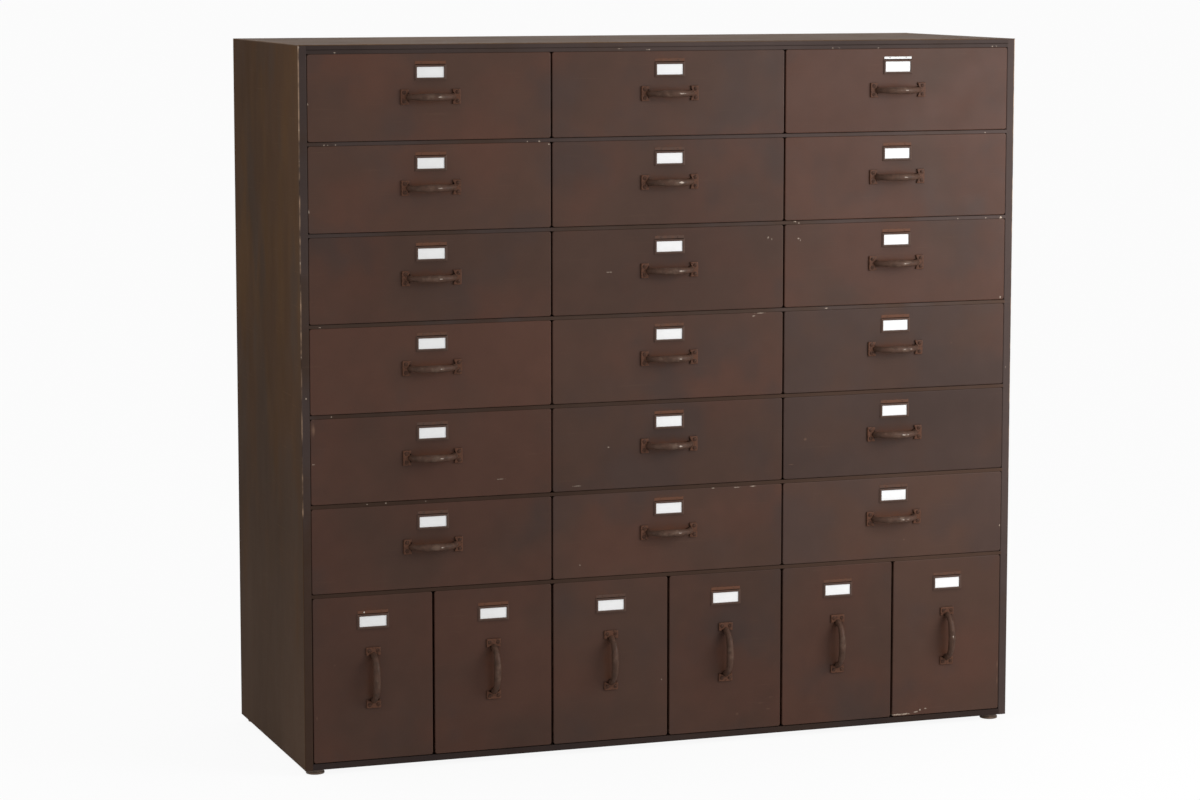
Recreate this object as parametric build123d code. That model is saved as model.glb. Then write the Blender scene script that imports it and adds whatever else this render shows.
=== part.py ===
from build123d import *
import math
import os

# Sheet-iron drawer cabinet: six rows of three shallow drawers above one row of six tall drawers.
# Millimetres, +Z up, front towards -Y. The origin lies on the floor, under the middle of the whole
# cabinet with its handles. Depths named *_depth below are counted backwards from the front face.

# Layout
shallow_rows = 6
bays = 3
front_width = 440.0
shallow_front_height = 151.0
tall_front_height = 294.0
carcass_depth = 480.0

# Clearances
front_gap = 4.0
stile_gap = 2.0
rail_gap = 1.0
slide_clearance = 1.5
seat_clearance = 0.2
stop_clearance = 0.8
tray_back_space = 18.0

# Carcass sheet and folds
carcass_sheet = 1.2
fold_radius = 1.0
stile_width = 14.0
stile_return = 12.0
top_fold = 9.0
bottom_fold = 11.0
rail_height = 5.0
rail_depth = 18.0
stop_lip = 8.0
partition_flange = 10.0

# Drawer runners
runner_sheet = 1.5
runner_leg = 18.0
runner_shelf = 16.0

# Feet
foot_diameter = 33.0
foot_height = 10.0
foot_rim = 4.0
foot_taper = 18.0
foot_sides = 24
foot_inset = 24.0
foot_stud_diameter = 8.0
foot_stud_sides = 12
foot_stud_clearance = 0.2
foot_nut_width = 13.0
foot_nut_height = 6.5

# Drawer box
drawer_sheet = 1.0
pan_depth = 14.0
pan_edge_chamfer = 0.9
inner_front_margin = 0.4
tray_lift = 6.0
tray_drop = 10.0
tray_hem = 8.0
tray_tail = 41.0
stop_rise = 7.0

# Label holder
holder_width = 62.0
holder_height = 32.0
holder_thickness = 2.0
window_width = 50.0
window_height = 20.0
card_slot_width = 55.0
card_slot_thickness = 0.7
card_slot_floor = 3.0
shallow_label_drop = 33.0
tall_label_drop = 46.0

# Bow handle
handle_length = 109.0
foot_plate_length = 16.0
foot_plate_width = 29.0
foot_plate_thickness = 3.0
foot_plate_scallop = 3.5
scallop_facets = 4
bow_projection = 31.5
bow_root_inset = 6.5
bow_squareness = 2.5
belly_radius = 5.6
neck_radius = 4.0
root_flare = 2.0
bow_sides = 8
bow_spans = 10
screw_head_width = 5.4
screw_head_height = 1.6
screw_head_sides = 6
screw_spread = 17.0

# Sizes that follow from the layout
bay_pitch = front_width + front_gap
mouth_width = bays * front_width + (bays - 1) * front_gap + 2 * stile_gap
cabinet_width = mouth_width + 2 * stile_width
tall_front_width = (front_width - front_gap) / 2
rail_band = rail_height + 2 * rail_gap
shallow_pitch = shallow_front_height + rail_band
tall_band_top = top_fold + rail_band + shallow_rows * shallow_pitch
carcass_height = tall_band_top + tall_front_height + rail_gap + bottom_fold

half_width = cabinet_width / 2
half_mouth = mouth_width / 2
liner_x = bays * bay_pitch / 2
rear_flange_x = liner_x + carcass_sheet / 2
floor_of_carcass = foot_height
top_of_carcass = foot_height + carcass_height
front_y = (bow_projection - carcass_depth) / 2
outer_fold_radius = min(fold_radius, 0.9 * carcass_sheet)
inner_back_depth = carcass_depth - carcass_sheet
tray_front_depth = pan_depth + drawer_sheet
tray_rear_depth = inner_back_depth - tray_back_space
tray_wall_depth = tray_rear_depth - tray_tail - drawer_sheet
drawer_travel = tray_wall_depth - rail_depth - stop_clearance


def y_at(depth):
    """Y of a point that lies the given depth behind the front face."""
    return front_y + depth


def block(x, y, z):
    """Box between the two limits given along each axis."""
    size = [high - low for low, high in (x, y, z)]
    middle = [(low + high) / 2 for low, high in (x, y, z)]
    return Pos(*middle) * Box(*size)


def bar_along_x(outline, x_from, x_to):
    """Outline of (depth, z) points, extruded from one X to another."""
    points = [(y_at(depth), z) for depth, z in outline]
    face = Plane.YZ.offset(x_from) * make_face(Polyline(*points, close=True))
    return extrude(face, amount=x_to - x_from)


def bar_along_y(outline, depth_from, depth_to):
    """Outline of (x, z) points, extruded backwards from one depth to another."""
    front_plane = Plane((0, y_at(depth_from), 0), x_dir=(1, 0, 0), z_dir=(0, -1, 0))
    face = front_plane * make_face(Polyline(*outline, close=True))
    return extrude(face, amount=depth_from - depth_to)


def bar_along_z(outline, z_from, z_to):
    """Outline of (x, depth) points, extruded upwards from one height to another."""
    points = [(x, y_at(depth)) for x, depth in outline]
    face = Plane.XY.offset(z_from) * make_face(Polyline(*points, close=True))
    return extrude(face, amount=z_to - z_from)


# Carcass


def side_panel(side):
    """Side sheet with its front edge folded in to a stile and back again, and a rear flange."""
    skin = half_width - carcass_sheet
    fold = half_mouth + carcass_sheet
    flange_front = inner_back_depth - carcass_sheet
    outline = [
        (half_width, 0),
        (half_width, inner_back_depth),
        (rear_flange_x, inner_back_depth),
        (rear_flange_x, flange_front),
        (skin, flange_front),
        (skin, carcass_sheet),
        (fold, carcass_sheet),
        (fold, stile_return),
        (half_mouth, stile_return),
        (half_mouth, 0),
    ]
    panel = bar_along_z(outline, floor_of_carcass, top_of_carcass - carcass_sheet)
    corner = panel.edges().filter_by(Axis.Z).group_by(Axis.Y)[0].sort_by(Axis.X)[-1]
    panel = fillet(corner, outer_fold_radius)
    return panel if side > 0 else panel.mirror(Plane.YZ)


def top_panel():
    """Top sheet over the sides, with its front edge folded down and back between the stiles."""
    under = top_of_carcass - carcass_sheet
    lip = top_of_carcass - top_fold
    sheet = block((-half_width, half_width), (y_at(0), y_at(carcass_depth)), (under, top_of_carcass))
    fold = bar_along_x(
        [
            (0, under),
            (0, lip),
            (stile_return, lip),
            (stile_return, lip + carcass_sheet),
            (carcass_sheet, lip + carcass_sheet),
            (carcass_sheet, under),
        ],
        -half_mouth,
        half_mouth,
    )
    panel = sheet + fold
    front_edge = panel.edges().filter_by(Axis.X).group_by(Axis.Z)[-1].sort_by(Axis.Y)[0]
    return fillet(front_edge, outer_fold_radius)


def bottom_panel():
    """Bottom sheet between the sides, with its front edge folded up and back between the stiles."""
    low = floor_of_carcass
    skin = low + carcass_sheet
    lip = low + bottom_fold
    channel = bar_along_x(
        [
            (0, low),
            (0, lip),
            (stile_return, lip),
            (stile_return, lip - carcass_sheet),
            (carcass_sheet, lip - carcass_sheet),
            (carcass_sheet, skin),
            (stile_return, skin),
            (stile_return, low),
        ],
        -half_mouth,
        half_mouth,
    )
    inside = half_width - carcass_sheet
    sheet = block((-inside, inside), (y_at(stile_return), y_at(inner_back_depth)), (low, skin))
    # The rear flanges of the side panels run down through the two back corners of the sheet.
    notch_front = inner_back_depth - carcass_sheet
    for side in (-1, 1):
        edges = sorted((side * rear_flange_x, side * half_width))
        sheet -= block(edges, (y_at(notch_front), y_at(inner_back_depth)), (low, skin))
    panel = channel + sheet
    front_edge = panel.edges().filter_by(Axis.X).group_by(Axis.Z)[0].sort_by(Axis.Y)[0]
    panel = fillet(front_edge, outer_fold_radius)
    for x, y in foot_places():
        panel -= Pos(x, y, low) * extrude(stud_outline(foot_stud_clearance), amount=carcass_sheet)
    return panel


def back_panel():
    """Flat back sheet, lapped over the rear flanges of the side panels and under the top."""
    return block(
        (-half_width, half_width),
        (y_at(inner_back_depth), y_at(carcass_depth)),
        (floor_of_carcass, top_of_carcass - carcass_sheet),
    )


def upright(x, z_from, z_to):
    """Upright partition sheet behind the rails, with a flange against the back panel."""
    half = carcass_sheet / 2
    outline = [
        (x - half, rail_depth),
        (x + half, rail_depth),
        (x + half, inner_back_depth - carcass_sheet),
        (x + half + partition_flange, inner_back_depth - carcass_sheet),
        (x + half + partition_flange, inner_back_depth),
        (x - half, inner_back_depth),
    ]
    return bar_along_z(outline, z_from, z_to)


def bay_centre(bay):
    return (bay - (bays - 1) / 2) * bay_pitch


def rail_top(index):
    """Height of the top of a front rail. Rail 0 is under the top panel's fold."""
    return top_of_carcass - top_fold - rail_gap - index * shallow_pitch


def bay_partitions():
    """Full-height partitions between the bays, and one liner on each side that carries runners."""
    low = floor_of_carcass + carcass_sheet
    high = top_of_carcass - carcass_sheet
    sheets = [upright(index * bay_pitch - liner_x, low, high) for index in range(bays)]
    # Every flange points into a bay, so the last sheet is the first one mirrored.
    return [*sheets, sheets[0].mirror(Plane.YZ)]


def mid_shelves():
    """One sheet per bay over the tall drawers, level with the lowest rail."""
    high = rail_top(shallow_rows)
    reach = (bay_pitch - carcass_sheet) / 2
    depths = (y_at(rail_depth), y_at(inner_back_depth))
    notch_front = inner_back_depth - carcass_sheet
    shelves = []
    for bay in range(bays):
        middle = bay_centre(bay)
        left, right = middle - reach, middle + reach
        shelf = block((left, right), depths, (high - carcass_sheet, high))
        corner = (y_at(notch_front), y_at(inner_back_depth))
        flange = (left, left + partition_flange)
        shelf -= block(flange, corner, (high - carcass_sheet, high))
        if bay == bays - 1:
            flange = (right - partition_flange, right)
            shelf -= block(flange, corner, (high - carcass_sheet, high))
        shelves.append(shelf)
    return shelves


def tall_partitions():
    """Half-height partition in the middle of each bay, between the bottom panel and the mid shelf."""
    low = floor_of_carcass + carcass_sheet
    high = rail_top(shallow_rows) - carcass_sheet
    return [upright(bay_centre(bay), low, high) for bay in range(bays)]


def front_rail(index):
    """Folded rail across the mouth. Its rear lip stops the drawers below it."""
    high = rail_top(index)
    lip = rail_depth - carcass_sheet
    return bar_along_x(
        [
            (0, high),
            (rail_depth, high),
            (rail_depth, high - rail_height - stop_lip),
            (lip, high - rail_height - stop_lip),
            (lip, high - carcass_sheet),
            (carcass_sheet, high - carcass_sheet),
            (carcass_sheet, high - rail_height),
            (0, high - rail_height),
        ],
        -half_mouth,
        half_mouth,
    )


def runner(wall_x, side, shelf_top):
    """Angle runner on an upright: side is +1 where its shelf points towards +X."""
    outline = [
        (0, 0),
        (runner_shelf, 0),
        (runner_shelf, -runner_sheet),
        (-runner_sheet, -runner_sheet),
        (-runner_sheet, runner_leg),
        (0, runner_leg),
    ]
    points = [(wall_x + side * (runner_sheet + x), shelf_top + z) for x, z in outline]
    return bar_along_y(points, rail_depth, inner_back_depth - carcass_sheet)


def drawer_runners():
    """Two runners under every drawer, one on each wall of its compartment."""
    runners = []
    for slot in all_slots:
        shelf_top = slot["bottom"] + tray_lift - seat_clearance
        for side in (-1, 1):
            wall_x = slot["x"] + side * slot["clear_width"] / 2
            runners.append(runner(wall_x, -side, shelf_top))
    return runners


def foot_places():
    """(x, y) of the four feet."""
    x = half_width - foot_inset
    return [(side * x, y_at(depth)) for side in (-1, 1) for depth in (foot_inset, carcass_depth - foot_inset)]


def stud_outline(clearance):
    """Section of a foot's stud, grown by a clearance for the holes that it passes through."""
    return RegularPolygon(foot_stud_diameter / 2 + clearance, foot_stud_sides, major_radius=False)


def foot():
    """Glide: a rim on the floor, a cone that narrows upwards, and a stud through the bottom panel."""
    outline = RegularPolygon(foot_diameter / 2, foot_sides)
    rim = extrude(outline, amount=foot_rim)
    cone = extrude(Pos(0, 0, foot_rim) * outline, amount=foot_height - foot_rim, taper=foot_taper)
    stud_length = carcass_sheet + foot_nut_height
    stud = extrude(Pos(0, 0, foot_height) * stud_outline(0), amount=stud_length)
    return rim + cone + stud


def foot_nut():
    """Hexagon nut on the stud, on top of the bottom sheet."""
    hexagon = RegularPolygon(foot_nut_width / 2, 6, major_radius=False)
    return extrude(hexagon - stud_outline(foot_stud_clearance), amount=foot_nut_height)


# Drawers


def drawer_slots():
    """Place and front size of every drawer, with the clear width of its compartment."""
    slots = []
    for row in range(shallow_rows):
        top = rail_top(row) - rail_height - rail_gap
        for bay in range(bays):
            slots.append(
                {
                    "name": f"r{row + 1}_c{bay + 1}",
                    "x": bay_centre(bay),
                    "bottom": top - shallow_front_height,
                    "width": front_width,
                    "height": shallow_front_height,
                    "clear_width": bay_pitch - carcass_sheet,
                    "label_drop": shallow_label_drop,
                    "tall": False,
                }
            )
    top = rail_top(shallow_rows) - rail_height - rail_gap
    for column in range(2 * bays):
        slots.append(
            {
                "name": f"tall_c{column + 1}",
                "x": (column - bays + 0.5) * bay_pitch / 2,
                "bottom": top - tall_front_height,
                "width": tall_front_width,
                "height": tall_front_height,
                "clear_width": bay_pitch / 2 - carcass_sheet,
                "label_drop": tall_label_drop,
                "tall": True,
            }
        )
    return slots


def front_pan(slot):
    """Folded front: a face with a flange turned back on all four sides."""
    x = (slot["x"] - slot["width"] / 2, slot["x"] + slot["width"] / 2)
    z = (slot["bottom"], slot["bottom"] + slot["height"])
    skin = carcass_sheet
    solid = block(x, (y_at(0), y_at(pan_depth)), z)
    face_edges = solid.faces().sort_by(Axis.Y)[0].edges()
    solid = chamfer(face_edges, pan_edge_chamfer)
    hollow = block(
        (x[0] + skin, x[1] - skin), (y_at(skin), y_at(pan_depth)), (z[0] + skin, z[1] - skin)
    )
    return solid - hollow


def inner_front(slot):
    """Flat sheet that closes the back of the front pan and carries the tray."""
    half = slot["width"] / 2 - inner_front_margin
    z = (slot["bottom"] + inner_front_margin, slot["bottom"] + slot["height"] - inner_front_margin)
    return block((slot["x"] - half, slot["x"] + half), (y_at(pan_depth), y_at(tray_front_depth)), z)


def tray_outer_half(slot):
    return slot["clear_width"] / 2 - runner_sheet - slide_clearance


def tray_limits(slot):
    """Height of the underside of the tray and of the top of its sides."""
    return slot["bottom"] + tray_lift, slot["bottom"] + slot["height"] - tray_drop


def tray_wrap(slot):
    """One sheet folded into the bottom and both sides, with the top edges hemmed inwards."""
    outer = tray_outer_half(slot)
    low, high = tray_limits(slot)
    skin = outer - drawer_sheet
    hem = outer - 2 * drawer_sheet
    right = [
        (outer, low),
        (outer, high),
        (hem, high),
        (hem, high - tray_hem),
        (skin, high - tray_hem),
        (skin, low + drawer_sheet),
    ]
    left = [(-x, z) for x, z in reversed(right)]
    outline = [(slot["x"] + x, z) for x, z in right + left]
    return bar_along_y(outline, tray_front_depth, tray_rear_depth)


def tray_back(slot):
    """Rear wall between the sides. It rises behind the rail lip and stops the drawer."""
    half = tray_outer_half(slot) - 2 * drawer_sheet
    low, high = tray_limits(slot)
    return block(
        (slot["x"] - half, slot["x"] + half),
        (y_at(tray_wall_depth), y_at(tray_wall_depth + drawer_sheet)),
        (low + drawer_sheet, high + stop_rise),
    )


def label_holder(slot):
    """Pressed frame on the front: a window, and a slot behind it that is open at the top."""
    x = slot["x"]
    z = slot["bottom"] + slot["height"] - slot["label_drop"]
    bottom = z - holder_height / 2
    frame = block(
        (x - holder_width / 2, x + holder_width / 2),
        (y_at(-holder_thickness), y_at(0)),
        (bottom, bottom + holder_height),
    )
    window = block(
        (x - window_width / 2, x + window_width / 2),
        (y_at(-holder_thickness), y_at(0)),
        (z - window_height / 2, z + window_height / 2),
    )
    card_slot = block(
        (x - card_slot_width / 2, x + card_slot_width / 2),
        (y_at(-card_slot_thickness), y_at(0)),
        (bottom + card_slot_floor, bottom + holder_height),
    )
    return frame - window - card_slot


def drawer(slot):
    return [front_pan(slot), inner_front(slot), tray_wrap(slot), tray_back(slot), label_holder(slot)]


# Bow handle, modelled flat: X along the grip, Z out from the drawer


def foot_plate():
    """Screw plate at the +X end, scalloped on the side that faces the grip."""
    outer = handle_length / 2
    inner = outer - foot_plate_length
    half = foot_plate_width / 2
    shares = [2 * step / scallop_facets - 1 for step in range(scallop_facets + 1)]
    scallop = [(inner + foot_plate_scallop * (1 - share**2), half * share) for share in shares]
    outline = Polyline(*scallop, (outer, half), (outer, -half), close=True)
    return extrude(make_face(outline), amount=foot_plate_thickness)


def bow_ring(turn):
    """Corners of the grip's section at a turn from 0 to pi along a superellipse.

    The grip is thickest in the middle, thinner at the necks, and flares again where it meets a plate.
    """
    half_span = handle_length / 2 - foot_plate_length + bow_root_inset
    root = foot_plate_thickness / 2
    rise = bow_projection - belly_radius - root
    across, up = math.cos(turn), max(math.sin(turn), 0)
    power = 2 / bow_squareness
    x_share = math.copysign(abs(across) ** power, across)
    z_share = up**power
    slope = bow_squareness - 1
    tangent = (
        -(z_share**slope) / rise,
        0,
        math.copysign(abs(x_share) ** slope, across) / half_span,
    )
    radius = neck_radius + (belly_radius - neck_radius) * up**2 + root_flare * across**12
    middle = (half_span * x_share, 0, root + rise * z_share)
    section = Plane(middle, x_dir=(0, 1, 0), z_dir=tangent)
    angles = [2 * math.pi * side / bow_sides for side in range(bow_sides)]
    return [section.from_local_coords((radius * math.cos(a), radius * math.sin(a))) for a in angles]


def flat_face(*corners):
    return Face(Wire.make_polygon(corners))


def bow_grip():
    """Closed solid through the rings, each quadrangle between two rings folded into two flat triangles."""
    rings = [bow_ring(math.pi * step / bow_spans) for step in range(bow_spans + 1)]
    faces = [flat_face(*rings[0]), flat_face(*rings[-1])]
    for near, far in zip(rings, rings[1:]):
        for side in range(bow_sides):
            after = (side + 1) % bow_sides
            faces.append(flat_face(near[side], near[after], far[side]))
            faces.append(flat_face(near[after], far[after], far[side]))
    return Solid(Shell(faces))


def bow_handle():
    """Cast handle: a swelling bowed grip grown together with its two screw plates."""
    plate = foot_plate()
    return (bow_grip() + plate + plate.mirror(Plane.YZ)).solid()


def screw_heads():
    """Four screw heads, two on each plate."""
    head = extrude(RegularPolygon(screw_head_width / 2, screw_head_sides), amount=screw_head_height)
    x = (handle_length - foot_plate_length + foot_plate_scallop) / 2
    y = screw_spread / 2
    places = [(side * x, end * y, foot_plate_thickness) for side in (-1, 1) for end in (-1, 1)]
    return [Pos(*place) * head for place in places]


def placed_handle(slot):
    """Handle in the middle of its front: level on a shallow drawer, upright on a tall one."""
    middle = (slot["x"], y_at(0), slot["bottom"] + slot["height"] / 2)
    grip_axis = (0, 0, 1) if slot["tall"] else (1, 0, 0)
    seat = Plane(middle, x_dir=grip_axis, z_dir=(0, -1, 0)).location
    return [seat * piece for piece in handle_pieces]


# Assembly

all_slots = drawer_slots()
handle_pieces = [bow_handle(), *screw_heads()]
foot_shape = foot()
nut_shape = foot_nut()
nut_seat = floor_of_carcass + carcass_sheet

nodes = {
    "top_panel": [top_panel()],
    "bottom_panel": [bottom_panel()],
    "left_side_panel": [side_panel(-1)],
    "right_side_panel": [side_panel(1)],
    "back_panel": [back_panel()],
    "bay_partitions": bay_partitions(),
    "tall_partitions": tall_partitions(),
    "mid_shelves": mid_shelves(),
    "front_rails": [front_rail(index) for index in range(shallow_rows + 1)],
    "drawer_runners": drawer_runners(),
    "feet": [Pos(x, y, 0) * foot_shape for x, y in foot_places()],
    "foot_nuts": [Pos(x, y, nut_seat) * nut_shape for x, y in foot_places()],
}
for drawer_slot in all_slots:
    nodes["drawer_" + drawer_slot["name"]] = drawer(drawer_slot)
    nodes["handle_" + drawer_slot["name"]] = placed_handle(drawer_slot)

os.makedirs("parts", exist_ok=True)
for node_name, pieces in nodes.items():
    solids = [solid for piece in pieces for solid in piece.solids()]
    export_step(Compound(solids), f"parts/{node_name}.step")

print(f"{len(nodes)} nodes, {sum(len(pieces) for pieces in nodes.values())} pieces")
print(f"cabinet {cabinet_width:g} x {carcass_depth + bow_projection:g} x {top_of_carcass:g} mm")
print(f"drawer travel {drawer_travel:g} mm")
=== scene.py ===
import math

import bpy
import numpy as np
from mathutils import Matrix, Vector


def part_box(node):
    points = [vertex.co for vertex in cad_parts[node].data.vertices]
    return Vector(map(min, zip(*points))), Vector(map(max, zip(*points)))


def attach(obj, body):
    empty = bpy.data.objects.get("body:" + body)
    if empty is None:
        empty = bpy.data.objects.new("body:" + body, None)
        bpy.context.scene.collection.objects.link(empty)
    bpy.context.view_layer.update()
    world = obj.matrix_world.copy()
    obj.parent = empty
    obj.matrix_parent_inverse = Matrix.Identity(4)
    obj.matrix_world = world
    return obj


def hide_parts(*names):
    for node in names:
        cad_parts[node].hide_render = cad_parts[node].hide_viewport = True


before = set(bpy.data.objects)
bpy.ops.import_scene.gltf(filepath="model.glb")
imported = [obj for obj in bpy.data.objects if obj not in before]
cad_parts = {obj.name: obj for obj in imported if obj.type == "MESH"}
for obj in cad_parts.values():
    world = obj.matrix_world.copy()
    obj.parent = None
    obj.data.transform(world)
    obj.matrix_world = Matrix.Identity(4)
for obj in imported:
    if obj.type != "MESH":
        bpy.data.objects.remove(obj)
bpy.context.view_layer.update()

# Side panels
# Each side is one sheet of iron, painted olive brown. Its front edge is folded in to make a stile and
# back again, and its rear edge is turned in to hold the back panel.

mm = 0.001
sheet = 1.2 * mm
fold_radius = 1.0 * mm
fold_wear_reach = 1.2 * mm
run_crowding = 2.6
smooth_angle = math.radians(42)
stile_return = 12 * mm
stile_spreads = {-1: 0.9 * mm, 1: 1.35 * mm}
rear_edge_inset = 0.6 * mm
side_dent = 0.5 * mm
side_low, side_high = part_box("right_side_panel")
front_y = side_low.y
mouth_half = side_low.x
half_width = side_high.x
side_length = side_high.y - front_y


def crowd(count, pull):
    """Shares from 0 to 1 that crowd together at both ends: half of one plus a scaled tanh."""
    return 0.5 + 0.5 * np.tanh(pull * np.linspace(-1, 1, count)) / np.tanh(pull)


def woven(runs, bends):
    """Runs and the bends between them in one row: run, bend, run, and so on."""
    row = [runs[0]]
    for bend, run in zip(bends, runs[1:]):
        row += [bend, run]
    return np.concatenate(row)


def fold_outline(corners, thickness, radius, steps=4, spread=15):
    """Outline of a folded sheet, from the corners of its middle line.

    Each corner is turned on an arc about the point that lies one radius from both runs, and each run is
    sampled at crowded shares. The outline goes out half a thickness to the left of that line, and comes
    back half a thickness to the right. Also gives how near each point is to a fold or cut edge, as the
    exponential of minus the distance over the reach of the wear.
    """
    corners = np.asarray(corners, float)
    ahead = np.diff(corners, axis=0)
    ahead /= np.linalg.norm(ahead, axis=1, keepdims=True)
    left = ahead[:, ::-1] * (-1, 1)
    before, after = left[:-1], left[1:]
    hand = np.sign(before[:, :1] * after[:, 1:] - before[:, 1:] * after[:, :1])
    cosine = np.sum(before * after, axis=1, keepdims=True)
    pivot = corners[1:-1] + hand * radius * (before + after) / (1 + cosine)
    turn = (np.arccos(cosine) * np.linspace(0, 1, steps + 2)[1:-1])[..., None]
    spoke = np.cos(turn) * before[:, None] - np.sin(turn) * (hand * ahead[:-1])[:, None]
    arcs = pivot[:, None] - (hand * radius)[:, None] * spoke
    start = np.concatenate([corners[:1], pivot - hand * radius * after])
    run = np.concatenate([pivot - hand * radius * before, corners[-1:]]) - start
    share = crowd(spread, run_crowding)
    runs = start[:, None] + share[:, None] * run[:, None]
    reach = np.minimum(share, 1 - share) * np.linalg.norm(run, axis=1, keepdims=True)
    line = woven(runs, arcs)
    shift = woven(np.repeat(left[:, None], spread, axis=1), spoke) * thickness / 2
    wear = woven(np.exp(-reach / fold_wear_reach), np.ones(arcs.shape[:2]))
    return np.concatenate([line + shift, (line - shift)[::-1]]), np.concatenate([wear, wear[::-1]])


def carried(outline, stations, axes):
    """An outline carried along a straight path: rows are stations, and axes orders outline and path."""
    points = np.empty((len(stations), len(outline), 3))
    points[..., axes[0]] = outline[:, 0]
    points[..., axes[1]] = outline[:, 1]
    points[..., axes[2]] = np.asarray(stations)[:, None]
    return points


def numbered(points, start=0):
    """Point numbers of a grid of points, counted from start."""
    return start + np.arange(points.size // 3).reshape(points.shape[:-1])


def bridge(loops):
    """Quads between each closed loop of point numbers and the next one."""
    near, far = loops[:-1], loops[1:]
    quads = [near, np.roll(near, -1, axis=1), np.roll(far, -1, axis=1), far]
    return np.stack(quads, axis=-1).reshape(-1, 4)


def bar_faces(points):
    """Quads round a carried outline, with a strip of quads across the sheet at each end."""
    numbers = numbered(points)
    columns = numbers.shape[1]
    half = np.arange(columns // 2 - 1)
    strip = np.stack([half, half + 1, columns - 2 - half, columns - 1 - half], axis=1)
    return np.concatenate([bridge(numbers), strip[:, ::-1], strip + numbers[-1, 0]])


def add_piece(name, points, faces, finishes, body, slot=None, picks=None, **marks):
    """Mesh at the origin from points, groups of faces, and one number per point for each mark.

    The sign of the sum of the tetrahedra from the origin to the faces tells whether they point inwards.
    Picks gives the number of each face's finish where a piece has more than one.
    """
    points = points.reshape(-1, 3)
    groups = faces if isinstance(faces, list) else [faces]
    fans = [group[:, [0, i, i + 1]] for group in groups for i in range(1, group.shape[1] - 1)]
    corners = points[np.concatenate(fans)]
    if np.sum(corners[:, 0] * np.cross(corners[:, 1], corners[:, 2])) < 0:
        groups = [group[:, ::-1] for group in groups]
    mesh = bpy.data.meshes.new(name)
    mesh.from_pydata(points, [], [face for group in groups for face in group.tolist()], shade_flat=False)
    mesh.set_sharp_from_angle(angle=smooth_angle)
    for mark, values in marks.items():
        numbers = np.ascontiguousarray(values, np.float32).ravel()
        mesh.attributes.new(mark, "FLOAT", "POINT").data.foreach_set("value", numbers)
    for finish in finishes if isinstance(finishes, list) else [finishes]:
        mesh.materials.append(finish)
    if picks is not None:
        mesh.polygons.foreach_set("material_index", np.ascontiguousarray(picks, np.int32))
    piece = bpy.data.objects.new(name, mesh)
    bpy.context.scene.collection.objects.link(piece)
    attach(piece, body)
    return piece


def seen(red, green, blue):
    """Linear colour of a surface that is seen as this sRGB colour, from 0 to 255."""
    share = np.array([red, green, blue]) / 255
    linear = np.where(share <= 0.04045, share / 12.92, ((share + 0.055) / 1.055) ** 2.4)
    return (*linear, 1.0)


class Finish:
    """A material under way: each call adds one node, or a few, and gives the last one's output."""

    def __init__(self, name):
        self.material = bpy.data.materials.new(name)
        self.material.use_nodes = True
        self.tree = self.material.node_tree
        self.tree.nodes.clear()
        self.place = self.node("TexCoord", "Object")

    def node(self, kind, output, sockets=None, **settings):
        """One node, its sockets linked where they get another node's output, and set where they don't."""
        made = self.tree.nodes.new("ShaderNode" + kind)
        for name, value in settings.items():
            setattr(made, name, value)
        for name, value in (sockets or {}).items():
            if isinstance(value, bpy.types.NodeSocket):
                self.tree.links.new(value, made.inputs[name])
            else:
                made.inputs[name].default_value = value
        return made.outputs[output]

    def mottle(self, size, detail=3, stretch=(1, 1, 1), shift=(0, 0, 0)):
        """Soft noise with clouds of about size millimetres, longer along an axis with a small stretch."""
        vector = self.place
        if stretch != (1, 1, 1) or shift != (0, 0, 0):
            vector = self.node("Mapping", "Vector", {"Vector": vector, "Scale": stretch, "Location": shift})
        return self.node("TexNoise", "Fac", {"Vector": vector, "Scale": 1 / (size * mm), "Detail": detail})

    def mark(self, name):
        """The number that a piece holds under this name at each point."""
        return self.node("Attribute", "Fac", attribute_name=name)

    def ragged(self, mark, size, detail, height):
        """A mark with a ragged edge: the mark plus soft noise, from minus to plus half of a height."""
        return self.plus(self.mark(mark), self.sum(self.mottle(size, detail), height, -height / 2))

    def sum(self, value, factor, offset):
        """Value times factor plus offset."""
        return self.node("Math", 0, {0: value, 1: factor, 2: offset}, operation="MULTIPLY_ADD")

    def times(self, one, other):
        return self.node("Math", 0, {0: one, 1: other}, operation="MULTIPLY")

    def plus(self, one, other):
        return self.node("Math", 0, {0: one, 1: other}, operation="ADD")

    def minus(self, one, other):
        return self.node("Math", 0, {0: one, 1: other}, operation="SUBTRACT")

    def step(self, value, low, high, top=1.0):
        """Smooth step from 0 at low to top at high."""
        sockets = {"Value": value, "From Min": low, "From Max": high, "To Max": top}
        return self.node("MapRange", "Result", sockets, interpolation_type="SMOOTHSTEP")

    def blend(self, share, under, over, way="MIX"):
        """The colour over laid on the colour under, by its share."""
        return self.node("MixRGB", 0, {"Fac": share, "Color1": under, "Color2": over}, blend_type=way)

    def laid(self, under, over, value, low, high, top=1.0):
        """The colour over laid on the colour under where a value is high, by a smooth step."""
        return self.blend(self.step(value, low, high, top), under, over)

    def close(self, colour, roughness, height, depth, shine):
        """Shader with this colour, roughness and shine, and a bump of the given depth in metres."""
        bump = self.node("Bump", 0, {"Height": height, "Distance": depth, "Strength": 1.0})
        inputs = {"Base Color": colour, "Roughness": roughness, "Specular IOR Level": shine, "Normal": bump}
        shader = self.node("BsdfPrincipled", 0, inputs)
        output = self.tree.nodes.new("ShaderNodeOutputMaterial")
        self.tree.links.new(shader, output.inputs["Surface"])
        return self.material


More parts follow.
